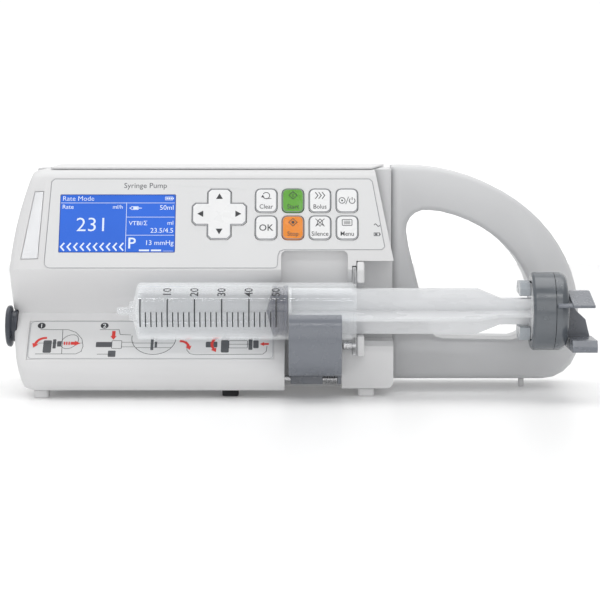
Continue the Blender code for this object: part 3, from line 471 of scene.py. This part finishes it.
def make_display():
    white = bmesh.new()
    words(white, "Rate Mode", 4.0, 1.2, -3.8, bold=-0.03)
    words(white, "Rate", 3.5, 1.2, -8.6)
    words(white, "ml/h", 3.3, 35.0, -8.6, "RIGHT")
    words(white, "231", 11.7, 9.0, -22.0, wide=1.04, bold=-0.07)
    words(white, "50ml", 4.0, 63.2, -9.2, "RIGHT")
    words(white, "VTBI/Σ", 3.5, 38.4, -18.4)
    words(white, "ml", 3.6, 63.2, -18.2, "RIGHT")
    words(white, "23.5/4.5", 4.0, 63.2, -22.9, "RIGHT")
    words(white, "P", 9.2, 37.9, -32.2, bold=0.08)
    words(white, "13 mmHg", 4.0, 63.4, -30.2, "RIGHT")
    for k in range(10):
        left = 1.2 + 3.62 * k
        ribbon(white, [(left + 1.9, -29.0), (left, -31.3), (left + 1.9, -33.6)], 0.85)
    rule = 0.26
    ribbon(white, [(0.4, -5.1), (63.6, -5.1)], rule)
    ribbon(white, [(36.9, -5.1), (36.9, -34.2)], rule)
    ribbon(white, [(36.9, -13.6), (63.6, -13.6)], rule)
    ribbon(white, [(36.9, -24.4), (63.6, -24.4)], rule)
    ribbon(white, rectangle(58.4, -3.3, 62.4, -1.5), 0.25, closed=True)
    for k in range(3):
        patch(white, rectangle(58.9 + 1.15 * k, -2.9, 59.7 + 1.15 * k, -1.9))
    patch(white, rectangle(62.5, -2.8, 63.0, -2.0))
    ribbon(white, round_rectangle(39.4, -9.1, 43.6, -7.3, 0.5), 0.3, closed=True)
    patch(white, rectangle(38.6, -8.5, 39.4, -7.9))
    patch(white, rectangle(43.6, -8.4, 45.4, -8.0))
    patch(white, rectangle(40.6, -8.8, 43.2, -7.6))
    patch(white, rectangle(44.4, -33.9, 50.0, -32.9))
    patch(white, rectangle(51.0, -33.9, 56.6, -32.9))
    ribbon(white, [(57.6, -33.8), (63.2, -33.8)], 0.2)
    lay("display_white_marks", white, lcd_map, SCREEN_WHITE, "case")
    dark = bmesh.new()
    ribbon(dark, round_rectangle(0.15, -34.5, 64.05, -0.15, 0.4), 0.35, closed=True)
    lay("display_dark_marks", dark, lcd_map, SCREEN_DARK, "case")


# ---------------------------------------------------------------- key marks

KEY_HALF = (6.05, 7.15)
KEYS = {
    "key_clear": (-18.75, 40.9, "Clear"), "key_start": (-3.9, 40.9, "Start"),
    "key_bolus": (11.05, 40.9, "Bolus"), "key_power": (26.05, 40.9, ""),
    "key_ok": (-18.75, 24.7, "OK"), "key_stop": (-3.9, 24.7, "Stop"),
    "key_silence": (11.05, 24.7, "Silence"), "key_menu": (26.05, 24.7, "Menu"),
}
KEY_TOP = 0.5
KEY_ROUNDING = 0.22


def icon_clear(bm):
    ribbon(bm, arc((0, 2.9), 1.9, 150, -160, 14), 0.42)
    patch(bm, [(-2.9, 1.9), (-1.0, 1.7), (-1.9, 3.4)])
    ribbon(bm, [(0, 1.2), (2.9, 1.2)], 0.36)


def icon_start(bm):
    ribbon(bm, [(0, 0.9), (2.3, 3.1), (0, 5.3), (-2.3, 3.1)], 0.4, closed=True)
    ribbon(bm, [(0, 2.0), (0, 4.2)], 0.4)


def icon_bolus(bm):
    for k in range(3):
        left = -2.6 + 1.9 * k
        ribbon(bm, [(left, 1.0), (left + 1.5, 3.0), (left, 5.0)], 0.45)


def icon_power(bm):
    ribbon(bm, arc((-2.7, 0), 1.7, 0, 345, 20), 0.4, closed=True)
    patch(bm, arc((-2.7, 0), 0.55, 0, 324, 9))
    ribbon(bm, [(-0.7, -2.2), (0.9, 2.2)], 0.36)
    ribbon(bm, arc((2.9, -0.2), 1.6, 125, 415, 18), 0.42)
    ribbon(bm, [(2.9, 0.2), (2.9, 2.0)], 0.42)


def icon_stop(bm):
    ribbon(bm, [(0, 0.9), (2.3, 3.1), (0, 5.3), (-2.3, 3.1)], 0.4, closed=True)
    patch(bm, arc((0, 3.1), 0.9, 0, 324, 9))


def icon_silence(bm):
    bell = [(-2.0, 1.5), (-1.5, 2.2), (-1.2, 4.0), (0, 5.1), (1.2, 4.0), (1.5, 2.2), (2.0, 1.5)]
    ribbon(bm, bell, 0.36, closed=True)
    patch(bm, arc((0, 1.1), 0.5, 180, 360, 5))
    ribbon(bm, [(-2.5, 5.2), (2.5, 0.7)], 0.36)
    ribbon(bm, [(-2.5, 0.7), (2.5, 5.2)], 0.36)


def icon_menu(bm):
    ribbon(bm, round_rectangle(-2.7, 1.2, 2.7, 4.8, 0.5), 0.36, closed=True)
    for up in (2.2, 3.0, 3.8):
        ribbon(bm, [(-1.8, up), (1.8, up)], 0.34)


ICONS = {
    "key_clear": icon_clear, "key_start": icon_start, "key_bolus": icon_bolus,
    "key_power": icon_power, "key_stop": icon_stop, "key_silence": icon_silence,
    "key_menu": icon_menu,
}


def key_map(x, up, height):
    """A map for art on a key cap, drawn about the key's middle."""
    return lambda a, b: on_slope(x + a, up + b, KEY_TOP + height)


def make_key_marks():
    for name, (x, up, text) in KEYS.items():
        rounded(refined(name), KEY_ROUNDING, 2)
        ink = bmesh.new()
        if name in ICONS:
            ICONS[name](ink)
        if name == "key_ok":
            words(ink, "OK", 5.4, 0, -1.9, "CENTER", bold=0.03)
        elif text:
            words(ink, text, 3.7, 0, -4.9, "CENTER", wide=0.92, bold=0.02)
        lay(name + "_legend", ink, key_map(x, up, INK), BLACK_INK, BODY_OF[name])
        rim = bmesh.new()
        wide, tall = (half - 0.35 for half in KEY_HALF)
        ribbon(rim, round_rectangle(-wide, -tall, wide, tall, 2.7, 5), 0.5, closed=True)
        lay(name + "_outline", rim, key_map(x, up, INK / 2), LINE_INK, BODY_OF[name])


def turned_points(points, angle):
    """Points turned about the origin by an angle in radians."""
    cos, sin = math.cos(angle), math.sin(angle)
    return [(x * cos - y * sin, x * sin + y * cos) for x, y in points]


def make_dpad_marks():
    centre = (-44.7, 32.9)
    rounded(refined("key_dpad"), KEY_ROUNDING, 2)
    ink = bmesh.new()
    for turn in range(4):
        patch(ink, turned_points([(12.2, 0), (8.9, 1.9), (8.9, -1.9)], math.pi / 2 * turn))
    lay("key_dpad_arrows", ink, key_map(*centre, INK), BLACK_INK, "key_dpad")
    rim = bmesh.new()
    half, arm = 15.05 - 0.35, 6.6 - 0.35
    quarter = [(arm, arm), (half - 1.8, arm), (half, arm - 1.8)]
    quarter += [(half, -arm + 1.8), (half - 1.8, -arm)]
    outline = []
    for turn in range(4):
        outline += turned_points(quarter, -math.pi / 2 * turn)
    ribbon(rim, outline, 0.5, closed=True)
    lay("key_dpad_outline", rim, key_map(*centre, INK / 2), LINE_INK, "key_dpad")


def make_panel_marks():
    ink = bmesh.new()
    words(ink, "Syringe Pump", 4.4, -98.0, 48.6)
    wave = [(40.9 + 0.27 * k, 26.3 + 0.75 * math.sin(k * 0.52)) for k in range(13)]
    ribbon(ink, wave, 0.42)
    ribbon(ink, rectangle(40.9, 20.0, 43.9, 21.7), 0.36, closed=True)
    patch(ink, rectangle(44.0, 20.4, 44.5, 21.3))
    patch(ink, rectangle(41.4, 20.3, 42.7, 21.4))
    lay("panel_marks", ink, slope_map(INK), GREY_INK, "case")
    edge = bmesh.new()
    points = arc((-137.5, 4.0), 3.0, 180, 270, 5)
    points += arc((-14.5, 3.0), 2.0, -90, 0, 5)
    points += [(-12.2, 8.5), (-11.2, 10.9), (-8.8, 11.8), (45.0, 11.8), (46.6, 13.4)]
    points += [(40.2, 52.5), (38.6, 54.0), (-136.6, 54.0), (-138.2, 52.4)]
    ribbon(edge, points, 0.3, closed=True)
    lay("panel_border", edge, slope_map(INK), FRAME_INK, "case")


# ------------------------------------------------------------------- label

LABEL_START = Vector((-6.5, 20.5))
LABEL_ALONG = Vector((27.0, 23.9)).normalized()


def label_map(x, up):
    """A place on the lower sloping wall; up is the distance from its bottom edge."""
    out = Vector((-LABEL_ALONG.y, LABEL_ALONG.x))
    point = LABEL_START + LABEL_ALONG * up + out * (-0.08 + INK)
    return at(x, point.x, point.y)


def arrow(bm, points, width=1.0, head=2.2):
    """A thick arrow along 2-D points."""
    ribbon(bm, points, width)
    tip = Vector(points[-1])
    along = (tip - Vector(points[-2])).normalized()
    side = Vector((-along.y, along.x))
    barb = side * head * 0.62
    patch(bm, [tuple(tip + along * head), tuple(tip + barb), tuple(tip - barb)])


def draw_clamp_step(line, solid, red):
    """First drawing: pull the pusher out and turn the clamp aside."""
    outline = [(-144.0, 23.6), (-128.6, 23.6), (-124.2, 21.6), (-120.6, 16.8), (-119.6, 11.4)]
    outline += [(-120.4, 7.4), (-123.2, 5.6), (-145.6, 5.6)]
    ribbon(line, outline, 0.3)
    grip = [(-127.2 + 4.6 * math.cos(a) + 1.4 * math.sin(a), 14.6 + 5.2 * math.sin(a))
            for a in (math.tau * k / 18 for k in range(18))]
    ribbon(line, grip, 0.3, closed=True)
    ribbon(line, [(-131.6, 23.6), (-131.0, 5.6)], 0.3)
    ribbon(line, [(-145.0, 13.6), (-119.9, 13.6)], 0.26)
    patch(solid, round_rectangle(-141.6, 6.4, -137.0, 15.6, 0.8))
    patch(solid, round_rectangle(-136.4, 9.6, -134.6, 16.4, 0.4))
    patch(solid, round_rectangle(-134.0, 11.0, -131.6, 15.0, 0.4))
    arrow(red, arc((-140.4, 11.6), 5.8, 85, 165, 8), 1.5, 3.0)
    for k in range(3):
        patch(red, rectangle(-130.4 + 1.3 * k, 12.2, -129.6 + 1.3 * k, 14.6))
    arrow(red, [(-126.6, 13.4), (-124.2, 13.4)], 2.2, 3.0)


def draw_barrel_step(line, solid, red):
    """Second drawing: lay the barrel in, with its flange shown in a magnifier."""
    ribbon(line, [(-111.0, 23.6), (-100.4, 23.6), (-99.6, 20.0), (-93.6, 19.6)], 0.3)
    ribbon(line, [(-111.6, 5.4), (-103.6, 5.4)], 0.3)
    patch(solid, round_rectangle(-112.6, 10.6, -103.8, 14.4, 0.5))
    ribbon(line, round_rectangle(-103.8, 9.6, -98.4, 15.4, 0.5), 0.3, closed=True)
    ribbon(line, [(-98.4, 14.2), (-91.6, 14.2)], 0.26)
    ribbon(line, [(-98.4, 10.8), (-91.6, 10.8)], 0.26)
    patch(solid, round_rectangle(-105.6, 3.4, -101.4, 8.0, 0.5))
    arrow(red, [(-103.2, 22.6), (-103.2, 18.8)], 1.9, 2.8)
    lens = (-80.8, 17.4)
    ribbon(line, arc(lens, 12.2, 172, 368, 30), 0.34)
    ribbon(line, [(-92.4, 13.6), (-69.4, 13.6)], 0.26)
    ribbon(line, [(-90.6, 10.2), (-71.2, 10.2)], 0.26)
    patch(solid, round_rectangle(-82.4, 8.4, -80.8, 16.4, 0.3))
    patch(solid, round_rectangle(-80.2, 10.4, -78.8, 14.6, 0.3))


def draw_lock_step(line, solid, red):
    """Third drawing: close the clamp and push the pusher home."""
    outline = [(-62.6, 15.0), (-62.2, 8.2), (-60.6, 5.8), (-57.8, 5.0)]
    outline += [(-20.4, 5.4), (-18.6, 7.4), (-18.2, 11.2)]
    ribbon(line, outline, 0.3)
    ribbon(line, [(-60.0, 19.0), (-22.0, 19.0)], 0.26)
    patch(solid, round_rectangle(-52.0, 10.4, -45.6, 14.6, 0.5))
    patch(solid, round_rectangle(-43.6, 6.6, -39.2, 15.8, 0.8))
    ribbon(line, round_rectangle(-39.2, 10.0, -29.0, 15.4, 0.5), 0.3, closed=True)
    ribbon(line, [(-39.2, 12.7), (-27.0, 12.7)], 0.26)
    patch(solid, round_rectangle(-28.4, 8.6, -26.2, 16.6, 0.5))
    patch(solid, round_rectangle(-25.8, 9.8, -22.8, 15.6, 0.6))
    arrow(red, arc((-43.0, 12.6), 5.6, 100, 215, 9), 1.5, 2.8)
    arrow(red, arc((-66.0, 10.4), 4.6, 95, 10, 7), 1.5, 2.8)
    arrow(red, [(-17.2, 12.9), (-19.8, 12.9)], 1.4, 2.4)


def raised_label_map(x, up):
    """The label map, lifted off the ink that is already on the label."""
    lift = Vector((0, -LABEL_ALONG.y, LABEL_ALONG.x)) * INK_LAYER * MM
    return label_map(x, up) + lift


def make_label_marks():
    line, solid, red = bmesh.new(), bmesh.new(), bmesh.new()
    draw_clamp_step(line, solid, red)
    draw_barrel_step(line, solid, red)
    draw_lock_step(line, solid, red)
    lay("label_drawing_lines", line, label_map, BLACK_INK, "case")
    lay("label_drawing_solids", solid, label_map, GREY_INK, "case")
    lay("label_arrows", red, raised_label_map, RED_INK, "case")
    badges, numbers = bmesh.new(), bmesh.new()
    for number, x in (("1", -143.6), ("2", -108.6)):
        patch(badges, arc((x, 26.6), 2.2, 0, 345, 23))
        words(numbers, number, 4.0, x, 25.2, "CENTER", bold=0.04)
    lay("label_badges", badges, label_map, BLACK_INK, "case")
    lay("label_numbers", numbers, raised_label_map, WHITE_INK, "case")
    frame_line = bmesh.new()
    points = arc((-17.3, 4.7), 2.4, -90, 0, 5) + arc((-17.3, 27.3), 2.4, 0, 90, 5)
    points += arc((-147.2, 27.3), 2.4, 90, 180, 5) + arc((-147.2, 4.7), 2.4, 180, 270, 5)
    ribbon(frame_line, points, 0.3, closed=True)
    lay("label_frame", frame_line, label_map, FRAME_INK, "case")


# ------------------------------------------------------------------ syringe

SCALE_ZERO, SCALE_STEP = -86.85, 1.478


def on_barrel(x, angle, out=0.03):
    """A place on the barrel's skin; angle is measured up from straight ahead, in radians."""
    radius = BARREL_R + out
    return at(x, -radius * math.cos(angle), AXIS_Z + radius * math.sin(angle))


def make_scale():
    marks = bmesh.new()
    low = math.radians(-28.0)
    for millilitre in range(0, 52, 2):
        long = millilitre % 10 == 0
        high = math.radians(30.5 if long else 3.5)
        x = SCALE_ZERO + SCALE_STEP * millilitre
        stroke = [(x, low + (high - low) * k / 16) for k in range(17)]
        ribbon(marks, stroke, 0.74 if long else 0.64)
    lay("scale_marks", marks, on_barrel, BLACK_INK, "case")
    numbers = bmesh.new()
    for millilitre in range(10, 60, 10):
        one = bmesh.new()
        words(one, str(millilitre), 6.3, 0, 0, "CENTER", bold=0.04)
        for step in range(-6, 7):
            everything = [*one.verts, *one.edges, *one.faces]
            place = (step * 0.5, 0, 0)
            bmesh.ops.bisect_plane(one, geom=everything, plane_co=place, plane_no=(1, 0, 0))
        x = SCALE_ZERO + SCALE_STEP * millilitre
        for vert in one.verts:
            across, up = vert.co.x, vert.co.y
            vert.co = Vector((x - up + 1.9, across / BARREL_R + math.radians(47), 0))
        mesh = bpy.data.meshes.new("one")
        one.to_mesh(mesh)
        one.free()
        numbers.from_mesh(mesh)
        bpy.data.meshes.remove(mesh)
    lay("scale_numbers", numbers, on_barrel, BLACK_INK, "case")


# -------------------------------------------------------------- small detail

def turned(bm, profile, centre, axis, count=32):
    """Revolve (distance, radius) pairs, in mm, about an axis through a layout place."""
    side = Vector((0, 1, 0)) if axis == "x" else Vector((1, 0, 0))
    along = Vector((1, 0, 0)) if axis == "x" else Vector((0, 1, 0))
    other = along.cross(side)
    rings = []
    for distance, radius in profile:
        ring = []
        for k in range(count):
            angle = math.tau * k / count
            outward = side * math.cos(angle) + other * math.sin(angle)
            ring.append(bm.verts.new(at(*(Vector(centre) + along * distance + outward * radius))))
        rings.append(ring)
    for first, second in zip(rings, rings[1:]):
        for k in range(count):
            bm.faces.new((first[k], first[k - 1], second[k - 1], second[k]))
    bm.faces.new(rings[0])
    bm.faces.new(rings[-1][::-1])
    bmesh.ops.recalc_face_normals(bm, faces=bm.faces)


def make_small_parts():
    for number, (x, z) in enumerate(((-140.0, 14.0), (-140.0, 112.0), (40.0, 112.0), (40.0, 12.0))):
        bm = bmesh.new()
        head = [(-1.2, 3.0), (0.05, 3.0), (0.3, 2.7), (0.3, 1.5), (-0.5, 1.3)]
        turned(bm, head, (x, 88.0, z), "y")
        smooth(new_piece(f"back_screw_{number}", bm, STEEL, "case"))
    for number, (x, z) in enumerate(((-111.5, 27.5), (-107.0, 33.5), (-102.5, 27.5))):
        bm = bmesh.new()
        turned(bm, [(-13.0, 1.2), (-2.6, 1.2), (-1.8, 0.7)], (x, 88.0, z), "y", 16)
        smooth(new_piece(f"inlet_pin_{number}", bm, BRASS, "case"))
    shaft = bmesh.new()
    profile = [(0.0, 1.3), (0.6, 2.3), (1.5, 2.3), (1.6, 1.7), (2.3, 1.7), (2.4, 2.3)]
    profile += [(3.3, 2.3), (3.4, 1.7), (4.1, 1.7), (4.2, 2.1), (5.0, 2.1), (5.3, 1.2), (7.6, 1.2)]
    turned(shaft, profile, (23.4, -0.6, 28.6), "x")
    smooth(new_piece("clamp_shaft_end", shaft, STEEL, "case"))


# -------------------------------------------------------------------- stage

def make_stage():
    """Pale floor that curves up into a white wall, soft lamps and the camera."""
    curve = [math.radians(a) for a in range(10, 100, 10)]
    path = [(-4.0, 0.0), (0.9, 0.0)]
    path += [(0.9 + 0.9 * math.sin(a), 0.9 - 0.9 * math.cos(a)) for a in curve]
    path += [(1.8, 3.5)]
    verts = [(side, depth, height) for depth, height in path for side in (-4.0, 4.0)]
    faces = [(2 * k, 2 * k + 1, 2 * k + 3, 2 * k + 2) for k in range(len(path) - 1)]
    sweep = bpy.data.meshes.new("floor")
    sweep.from_pydata(verts, [], faces)
    sweep.shade_smooth()
    floor = bpy.data.objects.new("floor", sweep)
    floor.location.z = -0.0002
    bpy.context.scene.collection.objects.link(floor)
    for name, glow in (("floor_white", 0.07), ("wall_white", 0.36)):
        made, tree, shader = graph(name)
        cloud = noise(tree, 1.2, 2.0)
        tint(tree, shader, (0.93, 0.93, 0.93), 0.008, spread(tree, cloud.outputs["Fac"], 0, 1))
        tree.links.new(spread(tree, cloud.outputs["Fac"], 0.30, 0.34), shader.inputs["Roughness"])
        shader.inputs["Specular IOR Level"].default_value = 0.3
        shader.inputs["Emission Color"].default_value = (1, 1, 1, 1)
        shader.inputs["Emission Strength"].default_value = glow
        sweep.materials.append(made)
    for face in sweep.polygons:
        face.material_index = 1 if face.center.y > 0.85 else 0

    world = bpy.data.worlds.new("studio")
    world.use_nodes = True
    backdrop = world.node_tree.nodes["Background"]
    backdrop.inputs["Color"].default_value = (1, 1, 1, 1)
    backdrop.inputs["Strength"].default_value = 0.37
    bpy.context.scene.world = world

    lamps = (
        ("top_softbox", (0.0, 0.2, 1.3), (0, 0.02, 0), 2.2, 1.0, 12.0),
        ("front_strip", (0.0, -0.75, 0.95), (0, 0, 0.06), 1.5, 0.06, 2.4),
        ("front_fill", (0.3, -2.2, 0.9), (0, 0, 0.06), 2.0, 1.4, 8.6),
        ("left_softbox", (-1.3, -0.9, 0.7), (0, 0, 0.06), 0.9, 0.9, 3.0),
    )
    for name, place, target, wide, tall, power in lamps:
        lamp = bpy.data.lights.new(name, "AREA")
        lamp.shape = "RECTANGLE"
        lamp.size = wide
        lamp.size_y = tall
        lamp.energy = power
        holder = bpy.data.objects.new(name, lamp)
        holder.location = place
        direction = Vector(target) - Vector(place)
        holder.rotation_euler = direction.to_track_quat("-Z", "Y").to_euler()
        bpy.context.scene.collection.objects.link(holder)

    camera = bpy.data.cameras.new("camera")
    camera.lens = 132.8
    camera.sensor_width = 36.0
    camera.clip_end = 50.0
    viewer = bpy.data.objects.new("camera", camera)
    viewer.location = at(0, -1210, 170)
    viewer.rotation_euler = (math.radians(90 - 5.49), 0, 0)
    bpy.context.scene.collection.objects.link(viewer)
    bpy.context.scene.camera = viewer
    bpy.context.scene.view_settings.view_transform = "Standard"


refined_nodes = {*ROUNDING, *KEYS, "key_dpad"}
for node_name, node_object in nodes.items():
    if node_name not in refined_nodes:
        node_object.data.materials.clear()
        node_object.data.materials.append(NODE_LOOKS[node_name])
for node_name in ROUNDING:
    fine = refined(node_name)
    if node_name == "front_case":
        paint_case_end(fine)
make_display()
make_key_marks()
make_dpad_marks()
make_panel_marks()
make_label_marks()
make_scale()
make_small_parts()
make_stage()
